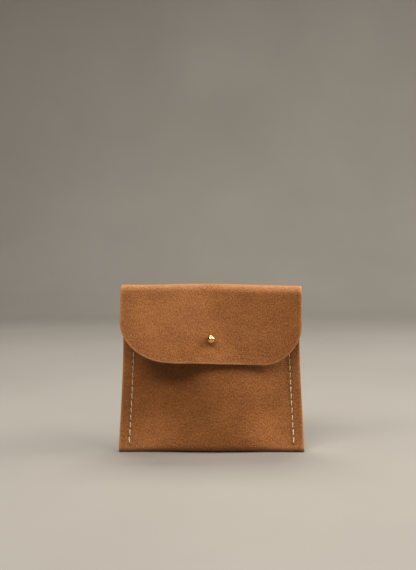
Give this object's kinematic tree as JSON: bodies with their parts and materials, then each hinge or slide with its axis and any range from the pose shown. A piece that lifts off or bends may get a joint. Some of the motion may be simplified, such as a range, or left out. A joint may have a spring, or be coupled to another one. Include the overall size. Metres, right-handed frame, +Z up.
{
  "type": "leather stud pouch",
  "caption": "Small standing leather pouch: a folded strip, saddle stitched at the sides, with a round-cornered flap that buttons over a brass ball stud.",
  "frame": {"origin": "on the base's flat underside, at the middle of the width and under the middle of the top fold", "axes": "+X along the width to the right as seen from the front, -Y out of the front, +Z up"},
  "size_m": [0.105, 0.0231, 0.095],
  "materials": {
    "leather": "tan vegetable-tanned leather, satin, fine pebbled grain",
    "brass": "polished",
    "thread": "waxed linen thread, cream"
  },
  "bodies": {
    "root": {"pouch_shell": "leather", "stud_head": "brass", "stud_screw": "brass", "left_seam_thread": "thread", "right_seam_thread": "thread"},
    "fold": {"flap_fold": "leather"},
    "flap": {"flap": "leather"}
  },
  "joints": [
    {"name": "fold_open", "type": "hinge", "parent": "root", "child": "fold", "pos_m": [0, 0.00389, 0.09339], "axis": [-1, 0, 0], "range_deg": [0, 90]},
    {"name": "flap_open", "type": "hinge", "parent": "fold", "child": "flap", "pos_m": [0, -0.00389, 0.09339], "axis": [-1, 0, 0], "range_deg": [0, 90]}
  ],
  "couplings": [
    {"joint": "flap_open", "follows": "fold_open", "ratio": 1}
  ]
}
